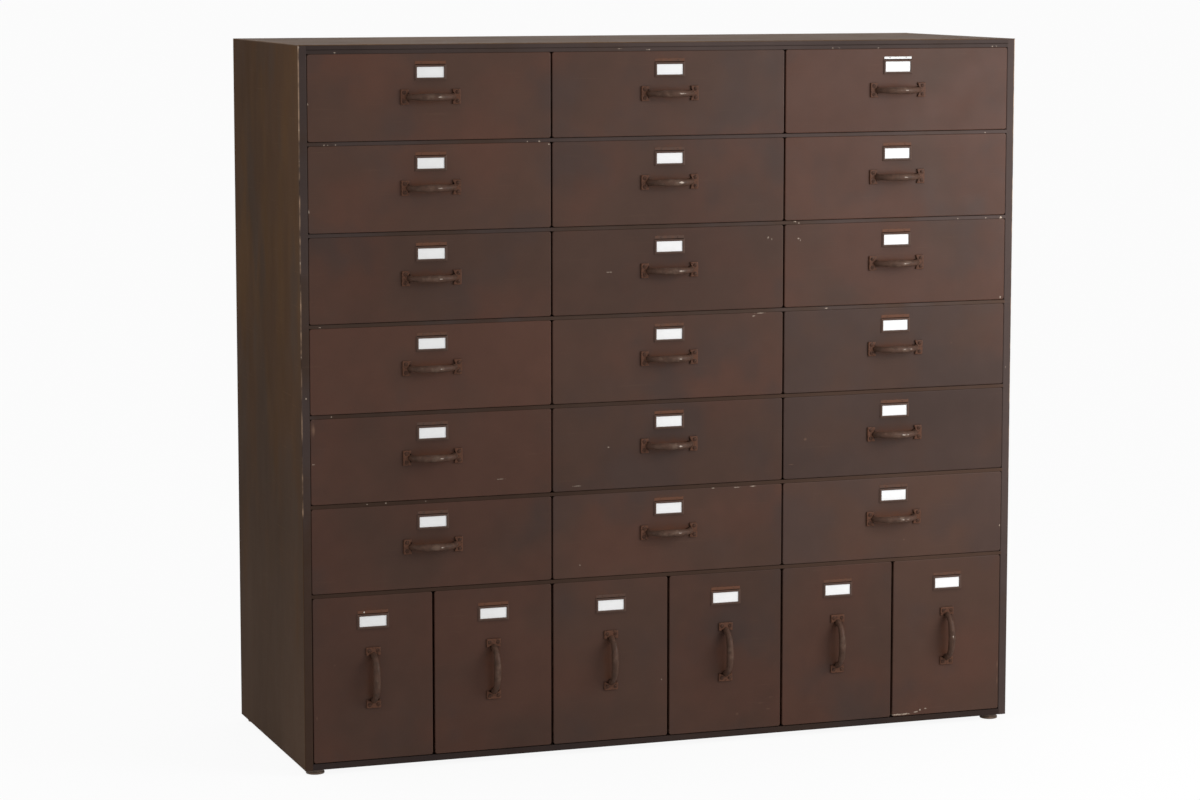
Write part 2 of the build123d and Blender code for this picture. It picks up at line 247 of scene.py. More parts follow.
def worn_paint(name, base, warm, cool, rubbed, streak=(1, 1, 1), gloss=0.45, shine=0.13):
    """Old stoved paint: clouds of warmer and cooler brown, rubbed thin at the folds, chipped to pale iron.

    The marks are edge_wear near folds, stain where rust has spread, chip where paint has flaked off,
    warmth, which moves the clouds towards red or grey, and tone, which lightens or darkens a piece. On
    some pieces tone also carries painted shadow and painted sheen, and edge_wear a painted glare.
    """
    rust = seen(78, 45, 28)
    grime_and_shade = seen(52, 42, 38)
    scratch = seen(112, 88, 70)
    pale_iron = seen(156, 141, 127)
    scratch_stretch = (0.25, 0.25, 12)
    cool_shift, broad_shift, narrow_shift = (3.1, 7.7, 1.9), (8.3, 2.2, 6.1), (1.7, 4.4, 2.8)
    paint = Finish(name)
    warmth = paint.mark("warmth")
    warm_clouds = paint.plus(paint.mottle(200, 4, streak), warmth)
    cool_clouds = paint.minus(paint.mottle(140, 4, streak, cool_shift), warmth)
    colour = paint.laid(seen(*base), seen(*warm), warm_clouds, 0.42, 0.66)
    colour = paint.laid(colour, seen(*cool), cool_clouds, 0.46, 0.7)
    colour = paint.laid(colour, rust, paint.ragged("stain", 11, 4, 0.7), 0.12, 0.95, top=0.75)
    colour = paint.laid(colour, grime_and_shade, paint.mottle(3.5, 2), 0.3, 0.7, top=0.12)
    colour = paint.laid(colour, scratch, paint.mottle(30, 2, scratch_stretch), 0.66, 0.74, top=0.07)
    thin = paint.ragged("edge_wear", 20, 5, 1.0)
    colour = paint.laid(colour, seen(*rubbed), thin, 0.55, 1.05, top=0.75)
    bare = paint.step(paint.ragged("chip", 2.8, 3, 1.6), 0.55, 0.8, top=0.75)
    colour = paint.blend(bare, colour, pale_iron)
    broad = paint.sum(paint.mottle(260, 3, streak, broad_shift), 0.36, 0.71)
    narrow = paint.sum(paint.mottle(35, 5, streak, narrow_shift), 0.22, 0.0)
    tone = paint.plus(paint.plus(broad, narrow), paint.mark("tone"))
    colour = paint.blend(1.0, colour, tone, "MULTIPLY")
    rough = paint.sum(paint.mottle(60, 4, streak), 0.2, gloss - 0.1)
    height = paint.sum(bare, -0.6, paint.mottle(2.2, 2))
    return paint.close(colour, rough, height, 0.06 * mm, shine)


def dent(across, along, phase):
    """Soft waves from 0 to 1 in a rolled sheet: the product and sum of sines of unlike lengths."""
    broad = np.sin(across * 9.1 + phase) * np.sin(along * 7.3 + 2.1 * phase)
    narrow = np.sin(across * 17.3 - along * 5.9 + 1.7 * phase)
    return 0.5 + 0.3 * broad + 0.2 * narrow


def ramp(distance, reach):
    """Share of the reach that a distance covers, held between 0 and 1."""
    return np.clip(distance / reach, 0, 1)


def bell(distance, reach, power=2):
    """1 in the middle, fading outwards: the exponential of minus a power of distance over reach."""
    return np.exp(-((distance / reach) ** power))


def open_sheet(wear):
    """1 on open sheet and 0 close to a fold: one minus a little more than the wear, to the fourth power."""
    return np.clip(1 - wear * 1.02, 0, 1) ** 4


def marks_at(points, spots):
    """Sum of soft bumps of height 1. Each spot gives x, z, half length and half height in millimetres."""
    x, z, half_length, half_height = np.array(spots).T * mm
    bumps = bell(points[..., 0, None] - x, half_length) * bell(points[..., 2, None] - z, half_height)
    return bumps.sum(axis=-1)


skin_paint = worn_paint(
    "olive_brown_paint", base=(65, 47, 33), warm=(71, 51, 33), cool=(62, 48, 38),
    rubbed=(176, 148, 124), streak=(1.8, 1.8, 0.6), gloss=0.7, shine=0.01,
)
frame_paint = worn_paint(
    "dark_frame_paint", base=(58, 45, 38), warm=(57, 42, 34), cool=(60, 50, 47), rubbed=(150, 124, 102),
    shine=0.04,
)
stile_chips = [(-672, 669, 2.6, 2.2), (-679.5, 1276, 2, 3), (-679.5, 1134, 2, 2.4)]
stile_chips += [(-679.5, 1080, 1.6, 2), (670, 670, 1.6, 2.4), (-679.5, 742, 1.2, 4)]
stile_chips += [(-679.5, 905, 1.2, 3)]
chip_span = np.linspace(-5, 5, 11)
side_heights = side_low.z + (side_high.z - side_low.z) * crowd(160, 1.2)
chip_heights = (np.array(stile_chips)[:, 1:2] + chip_span) * mm
side_heights = np.concatenate([side_heights, np.minimum(chip_heights, side_high.z).ravel()])
side_heights = np.unique(side_heights.round(5))

# Wear and colour by share of the height. Each is a row of shares and a row of amounts.
corner_wear = (0.2, 0.4, 0.85, 0.93), (0.1, 0.68, 0.76, 0.96)
strip_tone = (0.04, 0.1, 0.2, 0.35, 0.5, 0.65, 0.8, 0.9), (0.3, 0.2, 0.03, 0.08, 0.15, 0.22, 0.2, 0.33)
low_skin_tone = (0.2, 0.33), (0.16, 0.0)
low_skin_warmth = (0.2, 0.6), (-0.26, 0.0)
stile_tone_heights, stile_warmth_heights = (0.1, 0.35, 0.75, 0.9), (0.2, 0.6, 0.95)
# The right stile is painted lighter than the left, as a painted sheen of the lamp on the right.
stile_tones_and_sheen = {-1: (0.03, 0.06, 0.09, 0.03), 1: (0.2, 0.32, 0.34, 0.34)}
stile_warmths = {-1: (0.2, -0.1, -0.25), 1: (-0.3, -0.35, -0.25)}
strip_end, strip_fade = 0.45, 0.35
front_share = 0.006
skin_start, skin_fade = 0.002, 0.004
for side, name in ((-1, "left_side_panel"), (1, "right_side_panel")):
    stile_edge = mouth_half - stile_spreads[side] + sheet / 2
    rear_edge = side_length - sheet / 2
    side_line = [(stile_edge, stile_return), (stile_edge, sheet / 2), (half_width - sheet / 2, sheet / 2)]
    side_line += [(half_width - sheet / 2, rear_edge), (mouth_half + rear_edge_inset, rear_edge)]
    side_outline, side_wear = fold_outline(side_line, sheet, fold_radius)
    edge_x, edge_depth = ((side_outline + np.roll(side_outline, -1, axis=0)) / 2).T
    on_stile = (edge_depth < 0.5 * mm) | (edge_x < mouth_half + 3 * mm)
    on_stile &= edge_depth < stile_return + sheet
    side_picks = np.tile(on_stile, len(side_heights) - 1)
    side_picks = np.concatenate([side_picks, np.zeros(len(side_outline) - 2, bool)])
    side_outline[:, 1] += front_y
    points = carried(side_outline, side_heights, (0, 1, 2))
    skin = ramp(points[..., 0] - half_width + 2 * sheet, sheet)
    waves = dent(points[..., 1], points[..., 2], 0.7 * side)
    points[..., 0] -= side_dent * skin * open_sheet(side_wear) * waves
    outer = ramp(points[..., 0] - mouth_half, 10 * mm)
    points[..., 0] *= side
    high_share = points[..., 2] / side_high.z
    depth_share = (points[..., 1] - front_y) / side_length
    breaks = np.sin(points[..., 2] * 23) * np.sin(points[..., 2] * 61 + 1)
    worn_corner = np.interp(high_share, *corner_wear) + 0.12 * breaks
    on_front = bell(depth_share, front_share)
    on_skin = ramp(depth_share - skin_start, skin_fade)
    front_strip = ramp(strip_end - depth_share, strip_fade) * np.interp(high_share, *strip_tone)
    skin_tone = front_strip + np.interp(high_share, *low_skin_tone)
    skin_warmth = np.interp(high_share, *low_skin_warmth)
    stile_tone = np.interp(high_share, stile_tone_heights, stile_tones_and_sheen[side])
    stile_warmth = np.interp(high_share, stile_warmth_heights, stile_warmths[side])
    piece = add_piece(
        name.replace("panel", "sheet"), points, bar_faces(points), [skin_paint, frame_paint], "carcass",
        "carcass_paint", side_picks,
        edge_wear=side_wear**3 * outer * worn_corner,
        chip=marks_at(points, stile_chips) * on_front,
        tone=stile_tone + (skin_tone - stile_tone) * on_skin,
        warmth=stile_warmth * (1 - on_skin) + skin_warmth * on_skin,
    )
    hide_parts(name)

# Top panel
# One sheet laid over the sides, its front edge rolled over. A band folded from sheet hangs under that
# edge between the stiles and turns back above the upper drawers.

top_low, top_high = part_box("top_panel")
cover_roll = 0.65 * mm
cover_drop = 1.9 * sheet
cover_dent = 0.35 * mm
cover_middle = top_high.z - sheet / 2
cover_line = [(top_high.y - front_y, cover_middle), (sheet / 2, cover_middle)]
cover_line += [(sheet / 2, top_high.z - cover_drop)]
band_line = [(stile_return, top_low.z + sheet / 2), (sheet / 2, top_low.z + sheet / 2)]
band_line += [(sheet / 2, top_high.z - sheet)]
cover_outline, cover_wear = fold_outline(cover_line, sheet, cover_roll)
band_outline, band_wear = fold_outline(band_line, sheet, fold_radius)
cover_outline[:, 0] += front_y
band_outline[:, 0] += front_y
cover_outline[:, 1] = np.maximum(cover_outline[:, 1], top_high.z - sheet)

top_paint = worn_paint(
    "satin_olive_paint", base=(87, 65, 47), warm=(93, 69, 48), cool=(81, 62, 48), rubbed=(130, 108, 86),
    gloss=0.5, shine=0.02,
)
cover = carried(cover_outline, half_width * (2 * crowd(120, 1.2) - 1), (1, 2, 0))
cover[..., 2] -= cover_dent * open_sheet(cover_wear) * dent(cover[..., 0], cover[..., 1], 1.9)
piece = add_piece(
    "top_sheet", cover, bar_faces(cover), top_paint, "carcass", "carcass_paint",
    edge_wear=np.broadcast_to(cover_wear * 0.5, cover.shape[:2]),
)
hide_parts("top_panel")

band = carried(band_outline, np.linspace(-mouth_half, mouth_half, 200), (1, 2, 0))
band_tone = (-600, -462, -130, 60, 376, 668), (-0.2, 0.0, 0.24, 0.32, 0.06, 0.08)
band_warmth = -0.25
piece = add_piece(
    "top_band", band, bar_faces(band), frame_paint, "carcass", "carcass_paint",
    edge_wear=np.broadcast_to(band_wear * 0.3, band.shape[:2]),
    tone=np.interp(band[..., 0] / mm, *band_tone),
    warmth=np.full(band.shape[:2], band_warmth),
)
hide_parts("top_panel")

# Bottom panel
# One sheet between the sides, its front edge folded up and back like the top band. The feet are screwed
# through it.

bottom_paint = worn_paint(
    "dark_bottom_paint", base=(45, 35, 32), warm=(49, 37, 31), cool=(42, 34, 33), rubbed=(96, 76, 60),
    shine=0.07,
)


def repaint(node, finish):
    """Gives a node of the frame one finish in place of its own."""
    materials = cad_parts[node].data.materials
    materials.clear()
    materials.append(finish)


repaint("bottom_panel", bottom_paint)

# Back panel, partitions, shelves and runners
# Plain sheets and folded angles behind the drawers, spot welded to each other and dipped in the same
# olive paint, which has stayed duller and cleaner inside.

inner_paint = worn_paint(
    "inner_olive_paint", base=(62, 50, 40), warm=(68, 53, 40), cool=(58, 48, 40), rubbed=(100, 84, 66),
    streak=(2, 2, 0.6), gloss=0.6, shine=0.08,
)
for name in ("back_panel", "bay_partitions", "tall_partitions", "mid_shelves", "drawer_runners"):
    repaint(name, inner_paint)

# Front rails
# Seven folded rails run across the mouth between the stiles, one above each row. The lip at the back of
# each rail hangs down and stops the drawers, and the front edge has lost paint where drawers knock it.

_, rails_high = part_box("front_rails")
rail_count = 7
rail_pitch = 158 * mm
rail_height = 5 * mm
rail_spread = 0.85 * mm
rail_rise = 0.4 * mm
rail_bend = 0.8 * mm
stop_lip = 8 * mm
rail_rear = rails_high.y - front_y - sheet / 2
rail_middle = rail_rise - sheet / 2
rail_line = [(sheet / 2, -rail_height - rail_spread), (sheet / 2, rail_middle)]
rail_line += [(rail_rear, rail_middle), (rail_rear, -rail_height - stop_lip)]
rail_outline, rail_wear = fold_outline(rail_line, sheet, rail_bend, spread=11)
rail_tops = rails_high.z - rail_pitch * np.arange(rail_count)
rail_chips = np.array(
    [(-615, 1266, 2.4, 2), (-95, 1268, 5, 1.2), (-39, 1266, 7, 1), (303, 1267, 1.8, 1.5)]
    + [(315, 1266, 1.8, 1.7), (327, 1266, 1.7, 1.5), (405, 1265, 1.6, 1.5), (634, 1266, 2, 2)]
    + [(642, 1266, 1.6, 1.6), (-636, 1107.6, 3, 2), (-629, 1107.4, 1.5, 1.5), (-615, 1107.5, 2.4, 1.8)]
    + [(-267, 1107.5, 1.6, 1.6), (-245, 1107.5, 2.2, 2), (621, 1108, 1.8, 1.6), (243, 953, 3.4, 1.6)]
    + [(251, 950, 1.8, 1.4), (568, 950, 1.4, 1.4), (625, 950, 1.8, 1.8), (656, 950, 3.4, 2.8)]
    + [(-646, 792, 2.2, 1.6), (306, 793, 5, 1.2), (-627, 635, 1.9, 1.8), (-564, 478, 2, 1.1)]
    + [(-530, 478.6, 1.9, 1.8), (-457, 478, 1.6, 1.2)]
)
rail_chip_span = np.linspace(-7, 7, 15)


def joined(parts):
    """One mesh from parts, each given as its points and one or more groups of faces.

    The numbers in the faces are shifted past the points of the parts before, and groups whose faces have
    the same number of corners are put together.
    """
    blocks, groups, start = [], {}, 0
    for points, *faces in parts:
        blocks.append(points.reshape(-1, 3))
        for group in faces:
            groups.setdefault(group.shape[1], []).append(group + start)
        start += len(blocks[-1])
    return np.concatenate(blocks), [np.concatenate(same) for same in groups.values()]


rail_parts = []
for rail_top in rail_tops:
    chips = rail_chips[abs(rail_chips[:, 1] * mm - rail_top) < rail_pitch / 4]
    chip_places = (chips[:, :1] + rail_chip_span) * mm
    rail_places = np.concatenate([np.linspace(-mouth_half, mouth_half, 60), chip_places.ravel()])
    rail_places = np.unique(np.clip(rail_places, -mouth_half, mouth_half).round(5))
    rail = carried(rail_outline, rail_places, (1, 2, 0))
    if rail_top == rail_tops[0]:
        rail[..., 2] += (top_low.z - rail_top - rail_rise) * (rail[..., 2] > -2 * sheet)
    rail_parts.append((rail + np.array([0, front_y, rail_top]), bar_faces(rail)))
rail_points, rail_faces = joined(rail_parts)
rail_x, _, rail_z = rail_points.T

# Colour of the rails by place, in metres: each is a row of places and a row of amounts.
# The rails grow lighter towards the top and the right, as a painted sheen of the lamp on the right.
rail_sheen_up = (0.45, 0.6, 0.8, 1.1), (-0.06, -0.06, 0.06, 0.1)
rail_sheen_across = (-0.3, 0.0, 0.3, 0.5), (0.0, 0.1, 0.27, 0.42)
warmth_up = (0.5, 0.8, 1.1), (0.25, -0.06, -0.15)
on_band = rail_z > rail_tops[0] - rail_pitch / 2
rail_sheen = np.interp(rail_z, *rail_sheen_up) + np.interp(rail_x, *rail_sheen_across)
piece = add_piece(
    "drawer_rails", rail_points, rail_faces, frame_paint, "carcass", "carcass_paint",
    edge_wear=np.tile(rail_wear * 0.3, len(rail_points) // len(rail_wear)),
    chip=marks_at(rail_points, rail_chips),
    tone=np.where(on_band, np.interp(rail_x / mm, *band_tone), rail_sheen),
    warmth=np.where(on_band, band_warmth, np.interp(rail_z, *warmth_up)),
)
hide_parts("front_rails")

# Feet
# Four turned iron glides: a flat rim on the floor, a cone above it, and a stud through the bottom panel
# with a nut on top.

feet_low, feet_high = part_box("feet")
foot_radius = 16.5 * mm
stud_top = feet_high.z / mm
foot_profile = np.array(
    [(0.3, 0), (15.4, 0), (16.2, 0.3), (16.5, 1.0), (16.5, 3.2), (16.1, 3.9), (15.4, 4.3), (14.7, 9.9)]
    + [(4, 9.99), (4, stud_top - 0.4), (3.6, stud_top), (0.3, stud_top)]
)


def turned(profile, count):
    """A profile of radius and height carried round the Z axis in a count of steps."""
    turn = np.linspace(0, 2 * math.pi, count, endpoint=False)
    radius, height = profile[:, :1], profile[:, 1:]
    ring = [radius * np.cos(turn), radius * np.sin(turn), height + 0 * turn]
    return np.stack(ring, axis=-1)


def fan(loop):
    """Triangles from the first point of a loop to each pair of the others."""
    return np.stack([np.full(len(loop) - 2, loop[0]), loop[1:-1], loop[2:]], axis=1)


def disc_caps(loops):
    """Triangles that close the first and the last loop, the first one turned round."""
    return np.concatenate([fan(loops[0])[:, [0, 2, 1]], fan(loops[-1])])


iron = Finish("dark_turned_iron")
iron_colour = iron.laid(seen(86, 70, 58), seen(112, 90, 73), iron.mottle(8, 4), 0.4, 0.7)
iron_rough = iron.sum(iron.mottle(4), 0.4, 0.35)
foot_iron = iron.close(iron_colour, iron_rough, iron.mottle(2), 0.2 * mm, shine=0.4)
foot = turned(foot_profile * mm, 48)
foot_faces = bridge(numbered(foot)), disc_caps(numbered(foot))
foot_x, foot_back = feet_high.x - foot_radius, feet_high.y - foot_radius
foot_front = feet_low.y + foot_radius
foot_centres = np.array([(x, y, 0) for x in (-foot_x, foot_x) for y in (foot_front, foot_back)])
feet_points, feet_faces = joined([(foot + centre, *foot_faces) for centre in foot_centres])
piece = add_piece("glide_feet", feet_points, feet_faces, foot_iron, "carcass", "foot_iron")
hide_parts("feet")
repaint("foot_nuts", foot_iron)

# Drawer fronts
# Each front is a shallow pan of sheet, its four edges turned back and closed behind by a flat plate. The
# paint is brown with red and grey clouds, and rust has spread under the pulls and labels.

pan_radius = 1.4 * mm
pan_depth = 14 * mm
plate_depth = 15 * mm
plate_margin = 0.4 * mm
corner_round = 3.0 * mm
pan_side_ring = 5 * mm
front_dent = 0.35 * mm
dent_margin = 40 * mm
rim_fade = 1.4 * mm
shallow_spread = 1.2 * mm
stain_half, stain_fade, stain_width = 30 * mm, 22 * mm, 15 * mm
# Half length of the painted shadow along a pull.
grip_shadow_half = 40 * mm
label_rise, label_fall = 20 * mm, 15.2 * mm
label_drops = {False: 33 * mm, True: 46 * mm}
drawer_names = [f"r{row}_c{column}" for row in range(1, 7) for column in range(1, 4)]
drawer_names += [f"tall_c{column}" for column in range(1, 7)]
front_paint = worn_paint(
    "brown_drawer_paint", base=(66, 46, 37), warm=(72, 47, 37), cool=(61, 45, 39), rubbed=(112, 86, 70)
)
drawer_tones = {"r1_c1": 0.16, "r1_c2": 0.1, "r1_c3": 0.05, "r2_c1": 0.17, "r2_c2": 0.04, "r2_c3": 0.1}
drawer_tones |= {"r3_c2": -0.08, "r3_c3": 0.02, "r4_c1": 0.08, "r4_c2": 0.02, "r5_c1": -0.04}
drawer_tones |= {"r5_c2": -0.06, "r5_c3": -0.06, "r6_c1": -0.08, "r6_c2": 0.02, "r6_c3": 0.16}
drawer_tones |= {"tall_c1": -0.1, "tall_c2": -0.12, "tall_c3": -0.08, "tall_c4": -0.12, "tall_c5": -0.02}
drawer_tones |= {"tall_c6": 0.11}
drawer_warmth = {"r1_c3": 0.12, "r2_c3": 0.1, "r3_c3": 0.08, "r4_c1": 0.15, "r4_c3": -0.15, "r5_c1": 0.12}
drawer_warmth |= {"r5_c2": -0.04, "r5_c3": -0.25, "r6_c1": 0.1, "r6_c3": -0.12}
drawer_warmth |= {"tall_c1": 0.1, "tall_c2": 0.1}


def place_of(node):
    """Lowest and highest corner of a node, its middle on the front plane, and whether it stands upright."""
    low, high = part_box(node)
    centre = np.array([(low.x + high.x) / 2, front_y, (low.z + high.z) / 2])
    return low, high, centre, high.z - low.z > high.x - low.x


def pan_stations(half, count, spots):
    """Places along one side of a pan, crowded at its ends and round each spot of a half length."""
    places = (half - pan_radius) * (2 * crowd(count, 1.6) - 1)
    corner = half - pan_radius - corner_round * np.linspace(0, 1, 5)
    close = [middle + reach * np.linspace(-2, 2, 9) for middle, reach in spots]
    places = np.concatenate([places, corner, -corner, *close])
    return np.unique(np.clip(places, pan_radius - half, half - pan_radius).round(5))


def grid_cells(numbers):
    """Quads between the neighbours of a grid of point numbers."""
    cells = [numbers[:-1, :-1], numbers[:-1, 1:], numbers[1:, 1:], numbers[1:, :-1]]
    return np.stack(cells, -1).reshape(-1, 4)


def grid_rim(numbers):
    """Point numbers round the edge of a grid, as one loop."""
    return np.concatenate([numbers[0, :-1], numbers[:-1, -1], numbers[-1, :0:-1], numbers[:0:-1, 0]])


def front_pan(x, z):
    """Pan on a grid: the face, rings round its bent edge and down its sides, then the plate behind.

    The square at each corner of the face is drawn in to a quarter disc, by the larger offset over the
    distance. The ring at a turn from 0 to a right angle lies the radius times the sine outside the face,
    along the line from the nearest point of its core, and the radius times one minus the cosine behind.
    """
    core = np.array([x[-1], z[-1]]) - corner_round
    flat = np.stack(np.broadcast_arrays(x, z[:, None]), axis=-1)
    past = np.clip(abs(flat) - core, 0, None)
    drawn = past * (past.max(axis=-1) / np.maximum(np.hypot(*past.T).T, 1e-9))[..., None]
    flat = np.sign(flat) * (np.minimum(abs(flat), core) + drawn)
    face = np.stack([flat[..., 0], 0 * flat[..., 0], flat[..., 1]], axis=-1)
    numbers = numbered(face)
    rim = grid_rim(numbers)
    turn = np.linspace(0, math.pi / 2, 6)[1:]
    plate_radius = pan_radius - plate_margin
    out = [*(pan_radius * np.sin(turn)), pan_radius, pan_radius, plate_radius, plate_radius]
    back = [*(pan_radius * (1 - np.cos(turn))), pan_side_ring, pan_depth, pan_depth, plate_depth]
    edge = flat.reshape(-1, 2)[rim]
    root = np.clip(edge, -core, core)
    ring = root + (edge - root) * (1 + np.array(out) / corner_round)[:, None, None]
    depth = np.broadcast_to(np.array(back)[:, None], ring.shape[:2])
    rings = np.stack([ring[..., 0], depth, ring[..., 1]], axis=-1)
    plate = face + np.array([0, plate_depth, 0])
    points = np.concatenate([face.reshape(-1, 3), rings.reshape(-1, 3), plate.reshape(-1, 3)])
    ring_numbers = numbered(rings, numbers.size)
    plate_start = numbers.size + ring_numbers.size
    loops = np.concatenate([rim[None], ring_numbers, rim[None] + plate_start])
    cells = grid_cells(numbers)
    faces = np.concatenate([cells, bridge(loops)[:, ::-1], cells[:, ::-1] + plate_start])
    return points, faces


front_chips = np.array(
    [(-663.5, 1179, 1.2, 3), (-663.5, 993, 1.2, 4), (-227, 1102, 2, 1.5), (-114, 872, 7, 1.2)]
    + [(191, 925, 2, 3.5), (198, 922, 1.2, 3), (250, 922, 2.5, 1.5), (254, 919, 1.2, 3.5)]
    + [(176, 788.6, 14, 1), (164, 784, 4, 1.2), (657, 801, 2, 4), (-659, 553, 5, 0.9)]
    + [(-319, 510, 12, 0.9), (-115, 557, 3, 1.5), (-175, 490, 12, 0.8), (133, 471.5, 9, 1.2)]
    + [(86, 472.5, 4, 1), (164, 472, 7, 1.2), (-170, 346, 1.8, 1.8), (662, 372, 1.2, 4)]
    + [(-13, 126, 1.3, 1.6), (452, 25.2, 12, 1.7), (474, 25.6, 12, 1.7), (494, 28, 5, 1.9)]
    + [(503, 31, 3, 2.2), (514, 33, 4, 1.2)]
)
# The first scuff, at the top left corner of r5_c1, is a painted glare off a dent.
front_scuffs_and_glare = np.array(
    [(-659, 614, 4.5, 24), (448, 355, 2.5, 6), (-257, 552, 22, 0.8), (558, 720, 6, 5)]
    + [(266, 553, 6, 5), (239, 508, 10, 1.2), (466, 356, 4, 3), (-625, 195, 8, 7)]
    + [(-658, 103, 2, 9), (182, 68, 12, 3.5), (200, 78, 14, 3), (196, 56, 12, 3)]
    + [(135, 51, 8, 6), (601, 62, 1.6, 10), (661, 108, 1.6, 14), (661, 76, 1.6, 13)]
)
for index, name in enumerate(drawer_names):
    low, high, centre, tall = place_of("drawer_" + name)
    width = high.x - low.x + (0 if tall else shallow_spread)
    height = high.z - low.z
    spots = np.concatenate([front_chips, front_scuffs_and_glare]) * mm - (centre[0], centre[2], 0, 0)
    spots = spots[(abs(spots[:, 0]) < width / 2) & (abs(spots[:, 1]) < height / 2)]
    columns, rows = (44, 56) if tall else (80, 34)
    pan_x = pan_stations(width / 2, columns, spots[:, ::2])
    local, pan_faces = front_pan(pan_x, pan_stations(height / 2, rows, spots[:, 1::2]))
    local_x, local_depth, local_z = local.T
    inset = np.minimum(width / 2 - abs(local_x), height / 2 - abs(local_z))
    flat = ramp(inset, dent_margin) ** 2 * (local_depth < mm)
    points = local + centre
    points[:, 1] += front_dent * flat * dent(points[:, 0] * 2, points[:, 2] * 3, index * 1.3)
    along, beside = (local_z, local_x) if tall else (local_x, local_z)
    past_pull = np.clip(abs(along) - stain_half, 0, None)
    pull_stain = bell(past_pull, stain_fade) * bell(beside, stain_width)
    # Painted shadow of the grip: left of each tall pull and under each shallow one.
    grip_shadow_place, grip_shadow_reach, grime_and_shade = (-3, 8, 0.3) if tall else (-9, 5, 0.16)
    painted_grip_shadow = bell(beside / mm - grip_shadow_place, grip_shadow_reach) * bell(along, grip_shadow_half, 8)
    above_label = local_z - height / 2 + label_drops[tall] - label_rise
    below_label = above_label + label_rise + label_fall
    label_stain = bell(local_x, 32 * mm, 6) * bell(above_label, 7 * mm)
    # Painted shadow along the bottom edge of each label frame.
    painted_label_shadow = bell(local_x, 31 * mm, 8) * bell(below_label, 2 * mm)
    rim_wear = 0.55 * np.exp(-np.clip(inset, 0, None) / rim_fade)
    piece = add_piece(
        "front_" + name, points, pan_faces, front_paint, "drawer_body_" + name, "drawer_paint",
        # Rim wear, pale scuffs, and a painted glare off a dent at the corner of r5_c1.
        edge_wear=rim_wear + 0.8 * marks_at(points, front_scuffs_and_glare),
        chip=marks_at(points, front_chips),
        stain=np.clip(0.75 * pull_stain + 0.4 * label_stain, 0, 1),
        # The drawer's own tone, less painted shadows beside the pull and under the label frame.
        tone=drawer_tones.get(name, 0.0) - grime_and_shade * painted_grip_shadow - 0.16 * painted_label_shadow,
        warmth=np.full(len(points), drawer_warmth.get(name, 0.0)),
    )
    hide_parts("drawer_" + name)

# Drawer trays
# One sheet is folded into the floor and both walls of each tray, with its top edges hemmed inwards. A
# rear wall stands between them, and rises behind the rail lip to stop the drawer.

tray_sheet = 1.0 * mm
tray_bend = 0.45 * mm
tray_hem = 8 * mm
tray_lift = 6 * mm
tray_drop = 10 * mm
tray_side_room = 3 * mm
rear_wall_inset = 41.5 * mm
rear_wall_rise = 7 * mm
bay_pitch = 444 * mm
tray_paint = worn_paint(
    "inner_brown_paint", base=(66, 52, 44), warm=(76, 54, 43), cool=(56, 49, 46), rubbed=(110, 90, 72),
    streak=(1, 0.4, 1), gloss=0.55, shine=0.1,
)
for name in drawer_names:
    low, high, (middle, _, _), tall = place_of("drawer_" + name)
    outer = bay_pitch / (4 if tall else 2) - sheet / 2 - tray_side_room
    floor, top = low.z + tray_lift, high.z - tray_drop
    half = tray_sheet / 2
    hem_x, wall_x = outer - 3 * half, outer - half
    wall = [(hem_x, top - tray_hem), (hem_x, top - half), (wall_x, top - half), (wall_x, floor + half)]
    tray_line = [(middle + x, z) for x, z in wall] + [(middle - x, z) for x, z in reversed(wall)]
    tray_outline, tray_wear = fold_outline(tray_line, tray_sheet, tray_bend, steps=3, spread=9)
    tray_front = front_y + plate_depth
    wrap = carried(tray_outline, tray_front + (high.y - tray_front) * crowd(24, 1.2), (0, 2, 1))
    rear_y = high.y - rear_wall_inset
    rear_line = [(rear_y, floor + tray_sheet), (rear_y, top + rear_wall_rise)]
    rear_outline, rear_wear = fold_outline(rear_line, tray_sheet, tray_bend)
    reach = outer - 2 * tray_sheet
    rear = carried(rear_outline, middle + reach * (2 * crowd(24, 1.2) - 1), (1, 2, 0))
    points, tray_faces = joined([(wrap, bar_faces(wrap)), (rear, bar_faces(rear)[:, ::-1])])
    wear = [np.tile(tray_wear, len(wrap)), np.tile(rear_wear, len(rear))]
    piece = add_piece(
        "tray_" + name, points, tray_faces, tray_paint, "drawer_body_" + name, "drawer_paint",
        edge_wear=np.concatenate(wear) * 0.45,
    )
    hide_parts("drawer_" + name)

# Label holders and cards
# Each holder is a pressed frame with a raised rim, riveted to the front over a thin back plate that has
# rusted and stands up above it. A white card stands between the two, and two cards stick out at the top.

frame_half = np.array([29.25, 14.0]) * mm
corner_radius = 1.8 * mm
frame_profile = np.array(
    [(0, 0.05), (0, 0.45), (0.3, 0.7), (1.0, 0.75), (1.35, 1.5), (1.8, 1.9), (2.4, 2.0), (3.8, 2.0)]
    + [(4.4, 1.85), (4.7, 1.5), (4.75, 1.15), (4.6, 1.0), (3.6, 1.0), (2.6, 0.95), (1.3, 0.6), (0.6, 0.05)]
)
slot_half = 28 * mm
slot_depth = 0.78 * mm
slot_low = 9.5 * mm
lip_low, lip_high = 9.6 * mm, 20 * mm
lip_near, lip_far = -0.02 * mm, -0.34 * mm
lip_torn = 5 * mm
rivet_spread, rivet_rise = 16 * mm, 16.6 * mm


